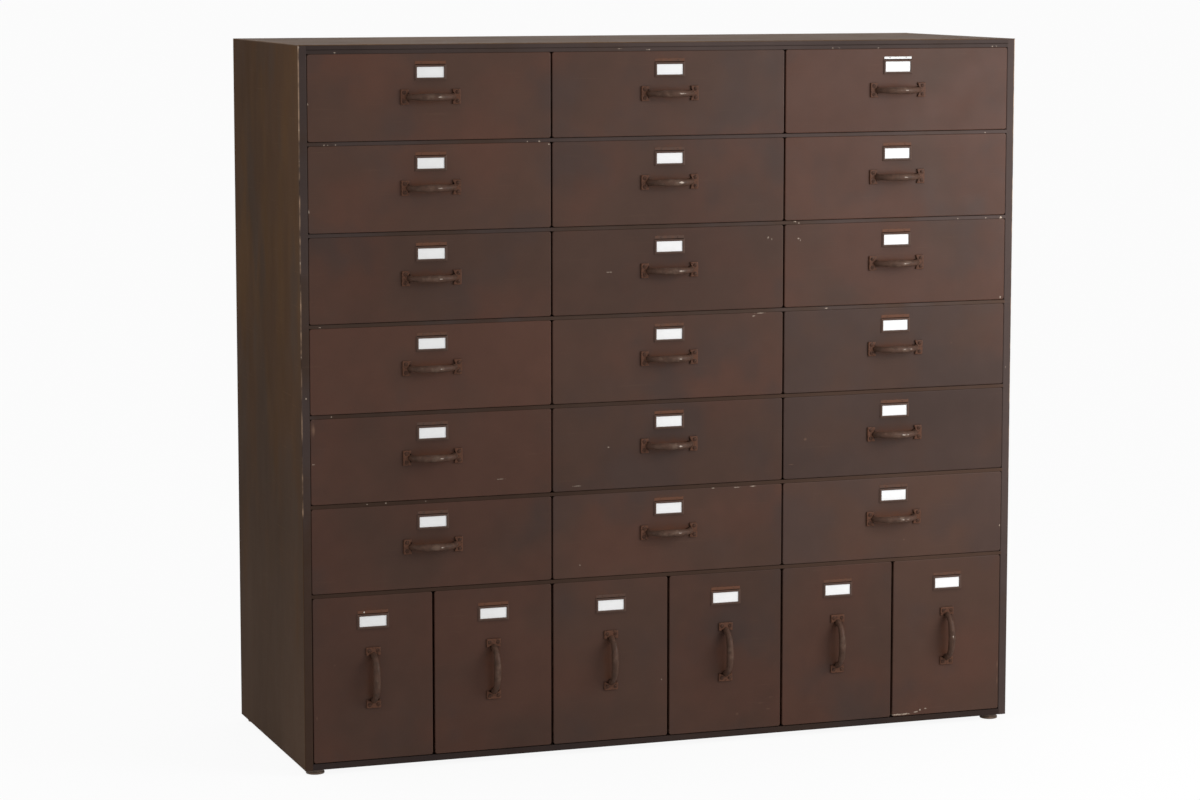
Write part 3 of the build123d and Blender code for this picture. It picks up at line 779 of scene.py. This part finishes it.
def rounded_rectangle(half, inset, radius, straight, corner):
    """Loop of a rectangle inset by a distance, its corners turned on what is left of the radius.

    The angle round each corner and the shares along each side are fixed numbers of steps, so that every
    loop has the same number of points.
    """
    size = np.asarray(half) - inset
    bend = np.maximum(radius - inset, 0.25 * radius)
    turn = np.linspace(0, math.pi / 2, corner + 1)
    signs = np.array([(1, 1), (-1, 1), (-1, -1), (1, -1)])
    angle = (np.arange(4) * math.pi / 2)[:, None] + turn
    arcs = signs[:, None] * (size - bend) + bend * np.stack([np.cos(angle), np.sin(angle)], axis=-1)
    share = np.linspace(0, 1, straight + 2)[1:-1, None]
    sides = arcs[:, -1:, :] + share * (np.roll(arcs, -1, axis=0)[:, :1] - arcs[:, -1:])
    return np.concatenate([arcs, sides], axis=1).reshape(-1, 2)


def slab(x, z, near, far):
    """Thin plate: a grid of x and z at the depth near, the same grid at far, and quads round the rim."""
    grids = [np.stack(np.broadcast_arrays(x, depth, z[:, None]), axis=-1) for depth in (near, far)]
    numbers = numbered(grids[0])
    cells, rim = grid_cells(numbers), grid_rim(numbers)
    faces = [cells, bridge(np.stack([rim, rim + numbers.size]))[:, ::-1], cells[:, ::-1] + numbers.size]
    return np.stack(grids), np.concatenate(faces)


insets, rises = frame_profile.T * mm
frame_loops = [rounded_rectangle(frame_half, inset, corner_radius, 10, 4) for inset in insets]
frame_x, frame_z = np.moveaxis(np.stack(frame_loops), -1, 0)
frame_out = np.broadcast_to(rises[:, None], frame_x.shape)
open_top = (frame_z > slot_low) & (abs(frame_x) < slot_half)
frame_out = np.where(open_top, np.maximum(frame_out, slot_depth), frame_out)
frame_shell = np.stack([frame_x, -frame_out, frame_z], axis=-1)
frame_numbers = numbered(frame_shell)
frame_faces = bridge(np.concatenate([frame_numbers, frame_numbers[:1]]))
frame_rust = 0.5 * ramp(frame_z - 9 * mm, 3 * mm)

lip_x = slot_half * np.linspace(-1, 1, 41)
lip, lip_faces = slab(lip_x, np.linspace(lip_low, lip_high, 7), lip_near, lip_far)
lip_share = ramp(lip[..., 2] - lip_high + lip_torn, lip_torn)
lip[..., 2] -= lip_share * 0.5 * mm * (1 + np.sin(lip[..., 0] * 310) * np.sin(lip[..., 0] * 830 + 1))
rivet = turned(np.array([(1.2, 0.3), (1.2, 0.55), (0.95, 0.85), (0.5, 1.05), (0.05, 1.1)]) * mm, 12)
rivet_faces = bridge(numbered(rivet))[:, ::-1], disc_caps(numbered(rivet))[:, ::-1]
rivet = np.stack([rivet[..., 0], -rivet[..., 2], rivet[..., 1] + rivet_rise], axis=-1)
rivets = [(rivet + np.array([x, 0, 0]), *rivet_faces) for x in (-rivet_spread, rivet_spread)]

holder, holder_faces = joined([(frame_shell, frame_faces), (lip, lip_faces), *rivets])
lip_and_rivets = [lip.size // 3, rivet.size // 3, rivet.size // 3]
holder_rust = np.concatenate([frame_rust.ravel(), np.repeat([1.0, 0.7, 0.7], lip_and_rivets)])
left_rivet = np.repeat([0, 0, 1, 0], [frame_rust.size, *lip_and_rivets])

rusted = Finish("rusted_label_frame")
rust_edge = rusted.ragged("rust", 9, 4, 1.0)
frame_colour = rusted.laid(seen(76, 58, 50), seen(91, 60, 45), rust_edge, 0.3, 0.9)
frame_colour = rusted.laid(frame_colour, seen(80, 60, 50), rusted.mottle(3, 3), 0.55, 0.75, top=0.45)
frame_colour = rusted.blend(rusted.mark("bare"), frame_colour, seen(205, 196, 186))
frame_rough = rusted.sum(rusted.mottle(5), 0.3, 0.35)
label_iron = rusted.close(frame_colour, frame_rough, rusted.mottle(1.2, 3), 0.1 * mm, shine=0.1)

paper = Finish("white_card")
paper_white, paper_grey = seen(226, 226, 226), seen(220, 220, 218)
paper_colour = paper.laid(paper_white, paper_grey, paper.mottle(20, 4), 0.4, 0.8, top=0.5)
card_paper = paper.close(paper_colour, 0.8, paper.mottle(0.6, 3), 0.03 * mm, shine=0.1)
card_half = np.array([27.0, 12.4]) * mm
card_near, card_far = -0.62 * mm, -0.4 * mm
card_lift = 0.4 * mm
card_lean = 0.006
long_cards = {"r1_c3": 6.4 * mm, "tall_c4": 2.0 * mm}
card_x = card_half[0] * np.linspace(-1, 1, 15)
card_z = card_half[1] * np.linspace(-1, 1, 9)
card_bow = 0.06 * mm * (1 - (card_x / card_half[0]) ** 2)
card, card_faces = slab(card_x, card_z, card_near - card_bow, card_far - card_bow)
upper_card = 0.5 + 0.5 * card[..., 2] / card_half[1]
for index, name in enumerate(drawer_names):
    _, high, centre, tall = place_of("drawer_" + name)
    centre[2] = high.z - label_drops[tall]
    rust_spread = 0.75 + 0.3 * math.sin(index * 2.4 + 0.8)
    piece = add_piece(
        "label_frame_" + name, holder + centre, holder_faces, label_iron, "drawer_body_" + name,
        "drawer_paint", rust=holder_rust * rust_spread, bare=left_rivet * (name == "tall_c1"),
    )
    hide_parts("drawer_" + name)
    points = card.copy()
    points[..., 2] += card_lift * (math.sin(index * 2.3) - 1)
    points[..., 2] += long_cards.get(name, 0.0) * upper_card
    points[..., 2] += card_lean * math.sin(index * 1.7) * points[..., 0]
    add_piece("card_" + name, points + centre, card_faces, card_paper, "drawer_body_" + name)

# Bow pulls
# Each pull is one iron casting: a bowed grip that swells in the middle, grown together with two plates
# that are scalloped towards the grip. Four screws hold it. The plates are rusty, the grip is worn dark.

pull_length = 109 * mm
pull_reach = 31.5 * mm
plate_length = 16 * mm
plate_half = 13.3 * mm
plate_thickness = 3.0 * mm
plate_scallop = 3.5 * mm
root_inset = 1.5 * mm
root_height = 0.1 * mm
root_flare = 1.6 * mm
neck_radius = 4.2 * mm
belly_radius = 6.5 * mm
squareness = 2.2
screw_radius = 2.7 * mm
screw_height = 1.6 * mm
screw_spread = 7.8 * mm
screw_sink = 0.1 * mm
slot_cut = 0.65 * mm


def bow_grip(spans, sides):
    """Round section carried along half a superellipse, thicker in the middle and flared at the roots.

    At a turn from 0 to pi, the share along is the cosine and the share out the sine, both to the power
    of 2 over the squareness, and the radius grows with the sine squared. Also gives how much a hand rubs
    each point, which is the sine cubed, more on the upper side.
    """
    turn = math.pi * crowd(spans, 0.6)
    across, up = np.cos(turn), np.clip(np.sin(turn), 0, 1)
    power = 2 / squareness
    half_span = pull_length / 2 - plate_length + root_inset
    rise = pull_reach - belly_radius - root_height
    along = half_span * np.sign(across) * abs(across) ** power
    out = root_height + rise * up**power
    radius = neck_radius + (belly_radius - neck_radius) * up**2 + root_flare * across**12
    step = np.stack([np.gradient(along), np.gradient(out)], axis=1)
    step /= np.linalg.norm(step, axis=1, keepdims=True)
    step[0], step[-1] = (0, 1), (0, -1)
    angle = np.linspace(0, 2 * math.pi, sides, endpoint=False)
    beside = radius[:, None] * np.cos(angle)
    lift = radius[:, None] * np.sin(angle)
    section = [along[:, None] - step[:, 1:] * lift, beside, out[:, None] + step[:, :1] * lift]
    rub = up[:, None] ** 3 * (0.55 + 0.45 * np.sin(angle - math.pi))
    return np.stack(section, axis=-1), rub


def foot_plate(side):
    """Plate at one end: rings of its outline, whose inner edge is a parabola between two lobes."""
    share = np.linspace(-1, 1, 17)
    outer = pull_length / 2
    inner = outer - plate_length
    lobed = inner + plate_scallop * (1 - share**2) + 1.2 * mm * abs(share) ** 12
    scallop = np.stack([lobed, plate_half * share * (1 - 0.02 * abs(share) ** 8)], axis=1)
    edge = np.linspace(1, -1, 9)[:, None]
    straight = np.hstack([outer - 0.6 * mm * abs(edge) ** 10, plate_half * edge])
    across = np.linspace(0, 1, 7)[1:-1, None]
    upper = scallop[-1] + across * (straight[0] - scallop[-1])
    lower = straight[-1] + across * (scallop[0] - straight[-1])
    loop = np.concatenate([scallop, upper, straight, lower])
    centre = np.array([outer - plate_length / 2 + 1.2 * mm, 0])
    scales = np.array([1.0, 1.0, 0.985, 0.94, 0.8])
    heights = np.array([0.05 * mm, 2.2 * mm, 2.75 * mm, plate_thickness, plate_thickness])
    rings = centre + scales[:, None, None] * (loop - centre)
    rise = np.broadcast_to(heights[:, None, None], (*rings.shape[:2], 1))
    return np.concatenate([rings, rise], axis=-1) * (side, 1, 1)


def slotted_screw(slot_turn):
    """Dome on a square grid pressed into a disc, with a slot cut along one of the grid's middle rows.

    Three rings round its rim go down to the plate as gathered soil, darkened as a painted shadow.
    """
    u = np.array([-1, -0.6, -0.2, 0.2, 0.6, 1])
    v = np.array([-1, -0.55, -0.22, -0.14, 0.14, 0.22, 0.55, 1])
    a, b = np.meshgrid(u, v)
    x, y = a * np.sqrt(1 - b**2 / 2), b * np.sqrt(1 - a**2 / 2)
    dome = screw_height * np.sqrt(np.clip(1 - 0.62 * (x**2 + y**2), 0, 1))
    dome -= np.where(abs(b) < 0.2, slot_cut, 0) * (abs(a) < 0.9)
    cosine, sine = math.cos(slot_turn), math.sin(slot_turn)
    turned_x, turned_y = x * cosine - y * sine, x * sine + y * cosine
    head = np.stack([screw_radius * turned_x, screw_radius * turned_y, dome], axis=-1)
    numbers = numbered(head)
    rim = grid_rim(numbers)
    edge = head.reshape(-1, 3)[rim] * (1, 1, 0)
    skirts = np.stack([edge + (0, 0, 0.25 * mm), edge * 1.32 + (0, 0, 0.22 * mm), edge * 1.36])
    skirt_numbers = numbered(skirts, numbers.size)
    quads = [grid_cells(numbers), bridge(np.concatenate([rim[None], skirt_numbers]))[:, ::-1]]
    return head, skirts, np.concatenate(quads), fan(skirt_numbers[-1])[:, [0, 2, 1]]


cast = Finish("rusty_cast_iron")
cast_colour = cast.laid(seen(76, 55, 45), seen(64, 47, 38), cast.mottle(9, 4), 0.4, 0.68)
cast_colour = cast.laid(cast_colour, seen(84, 55, 41), cast.ragged("rust", 6, 4, 1.2), 0.3, 0.85)
pits = cast.times(cast.step(cast.mottle(3.5, 3), 0.48, 0.7), cast.mark("rust"))
cast_colour = cast.blend(pits, cast_colour, seen(52, 33, 24))
bright = cast.step(cast.ragged("rub", 10, 5, 2.0), 0.8, 1.4, top=0.6)
cast_colour = cast.blend(bright, cast_colour, seen(104, 86, 74))
# A painted highlight: a pale glint of the lamp laid on each grip.
polished = cast.ragged("polish", 3, 3, 0.8)
cast_colour = cast.laid(cast_colour, seen(190, 176, 164), polished, 0.45, 0.8, top=0.8)
# Darkest: soiled screw heads, and painted shade at the grip's roots, round screws, at plate feet.
cast_colour = cast.laid(cast_colour, seen(46, 31, 24), cast.mark("dirt"), 0.2, 0.8, top=0.85)
cast_rough = cast.sum(bright, -0.12, cast.sum(cast.mottle(4, 3), 0.25, 0.32))
pull_iron = cast.close(cast_colour, cast_rough, cast.mottle(1.6, 3), 0.2 * mm, shine=0.1)

grip, grip_rub = bow_grip(49, 20)
near_root = ramp(8.4 * mm - grip[..., 2], 6 * mm).ravel()
pull_parts = [(grip, bridge(numbered(grip)), disc_caps(numbered(grip)))]
# The grip darkens towards its roots, a painted shade where it meets the plates; rust gathers there too.
rub_rust_dirt = [(grip_rub.ravel(), 0.15 + 0.3 * near_root, 0.85 * near_root)]
screw_x = pull_length / 2 - plate_length / 2 + plate_scallop / 2
# The plates' lowest rings and the rings round the screws are darkened as painted shadow.
ring_dirt = [0.8, 0.3, 0, 0, 0]
plate_rust, screw_rust = 0.85, 0.8
head_dirt, skirt_dirt = 0.5, 1.0
for side in (-1, 1):
    plate = foot_plate(side)
    order = numbered(plate)[:, ::-side]
    pull_parts.append((plate, bridge(order)[:, ::-1], disc_caps(order)[:, ::-1]))
    plate_dirt = np.repeat(ring_dirt, plate.shape[1])
    rub_rust_dirt.append(np.broadcast_arrays(0.0, plate_rust, plate_dirt))
    for end in (-1, 1):
        head, skirts, screw_quads, screw_fan = slotted_screw(0.9 * side + 1.3 * end)
        screw = np.concatenate([head.reshape(-1, 3), skirts.reshape(-1, 3)])
        screw += (side * screw_x, end * screw_spread, plate_thickness - screw_sink)
        pull_parts.append((screw, screw_quads, screw_fan))
        screw_dirt = np.repeat([head_dirt, skirt_dirt], [head.size // 3, skirts.size // 3])
        rub_rust_dirt.append(np.broadcast_arrays(0.0, screw_rust, screw_dirt))
pull, pull_faces = joined(pull_parts)
pull_rub, pull_rust, pull_dirt = np.concatenate(rub_rust_dirt, axis=1)
along, beside, out = pull.T
# Shallow grips get a paler left leg: hand wear, and painted light on the side away from the lamp.
left_rub = 0.4 * bell(along + 32 * mm, 12 * mm) * (out > 6 * mm)
# The painted highlight lies on a narrow line along the middle of the grip.
upper_ridge = bell(beside - 0.6 * mm, 1.6 * mm) * (out > pull_reach / 2)
for index, name in enumerate(drawer_names):
    _, _, centre, upright = place_of("handle_" + name)
    if upright:
        points = np.stack([-beside, -out, along], axis=1)
        rub = pull_rub
        polish_spots = [(3, 0.9 if name == "tall_c6" else 0.45)]
    else:
        points = np.stack([along, -out, beside], axis=1)
        rub = pull_rub + left_rub
        polish_spots = [(8 + 3 * math.sin(index * 2.1), 0.95)]
        polish_spots += [(17 + 3 * math.sin(index * 1.3), 0.4 + 0.4 * math.sin(index * 1.9))]
    # Painted highlight: one or two bright spots along each grip, where the lamp glints.
    polish = sum(share * bell(along - spot * mm, 5 * mm) for spot, share in polish_spots)
    piece = add_piece(
        "bow_pull_" + name, points + centre, pull_faces, pull_iron, "drawer_body_" + name, "handle_iron",
        rub=rub, rust=pull_rust, dirt=pull_dirt, polish=polish * upper_ridge,
    )
    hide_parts("handle_" + name)

# Studio
# A pale floor, a white surround, a large soft lamp from the front right and a weak one from the left.
# The camera stands where the photograph was taken, left of the middle and a little above the top.

scene = bpy.context.scene
scene.view_settings.view_transform = "Standard"

white = (1, 1, 1, 1)
floor_half = 200.0
floor_grey = (0.74, 0.74, 0.74, 1)
floor_white_share = 0.92
floor_points = [(x * floor_half, y * floor_half, 0) for x, y in ((-1, -1), (1, -1), (1, 1), (-1, 1))]
floor_mesh = bpy.data.meshes.new("studio_floor")
floor_mesh.from_pydata(floor_points, [], [(0, 1, 2, 3)])
floor_object = bpy.data.objects.new("studio_floor", floor_mesh)
scene.collection.objects.link(floor_object)


def watched(tree):
    """1 for rays from the camera, a glossy surface or glass, and 0 for rays that only carry light."""
    path = tree.nodes.new("ShaderNodeLightPath")
    share = path.outputs["Is Camera Ray"]
    for kind in ("Is Glossy Ray", "Is Transmission Ray"):
        larger = tree.nodes.new("ShaderNodeMath")
        larger.operation = "MAXIMUM"
        tree.links.new(share, larger.inputs[0])
        tree.links.new(path.outputs[kind], larger.inputs[1])
        share = larger.outputs[0]
    return share


pale = Finish("pale_floor")
floor_share = pale.times(watched(pale.tree), floor_white_share)
floor_diffuse = pale.node("BsdfDiffuse", 0, {"Color": floor_grey})
floor_glow = pale.node("Emission", 0, {"Color": white, "Strength": 1.0})
floor_mix = pale.node("MixShader", 0, {0: floor_share, 1: floor_diffuse, 2: floor_glow})
floor_out = pale.tree.nodes.new("ShaderNodeOutputMaterial")
pale.tree.links.new(floor_mix, floor_out.inputs["Surface"])
floor_mesh.materials.append(pale.material)

lit_strength, watched_strength = 0.8, 1.0
world = bpy.data.worlds.new("white_surround")
scene.world = world
world.use_nodes = True
sky = world.node_tree
sky.nodes.clear()
sky_mix = sky.nodes.new("ShaderNodeMixShader")
sky.links.new(watched(sky), sky_mix.inputs[0])
for place, strength in ((1, lit_strength), (2, watched_strength)):
    surround = sky.nodes.new("ShaderNodeBackground")
    surround.inputs["Color"].default_value = white
    surround.inputs["Strength"].default_value = strength
    sky.links.new(surround.outputs[0], sky_mix.inputs[place])
sky_out = sky.nodes.new("ShaderNodeOutputWorld")
sky.links.new(sky_mix.outputs[0], sky_out.inputs["Surface"])

# Each softbox has its place, the point it aims at, its side in metres and its watts.
softboxes = {
    "front_right_softbox": ((1.53, -1.6, 1.26), (0.4, -0.2, 0.9), 1.26, 34),
    "left_fill": ((-3.0, 0.1, 1.7), (-0.68, 0.0, 0.64), 2.2, 12),
}
for name, (place, aim, size, watts) in softboxes.items():
    lamp = bpy.data.lights.new(name, "AREA")
    lamp.shape = "SQUARE"
    lamp.size = size
    lamp.energy = watts
    lamp_object = bpy.data.objects.new(name, lamp)
    lamp_object.location = place
    lamp_object.rotation_euler = (Vector(aim) - Vector(place)).to_track_quat("-Z", "Y").to_euler()
    lamp_object.visible_camera = False
    scene.collection.objects.link(lamp_object)

camera_down, camera_right = math.radians(6.725), math.radians(19.42)
camera = bpy.data.cameras.new("photo_camera")
camera.lens = 101.223
camera.sensor_width = 36.0
camera.shift_y = -0.04
camera_object = bpy.data.objects.new("photo_camera", camera)
camera_object.location = (-2.119, -5.8613, 1.4344)
camera_object.rotation_euler = (math.pi / 2 - camera_down, 0, -camera_right)
scene.collection.objects.link(camera_object)
scene.camera = camera_object
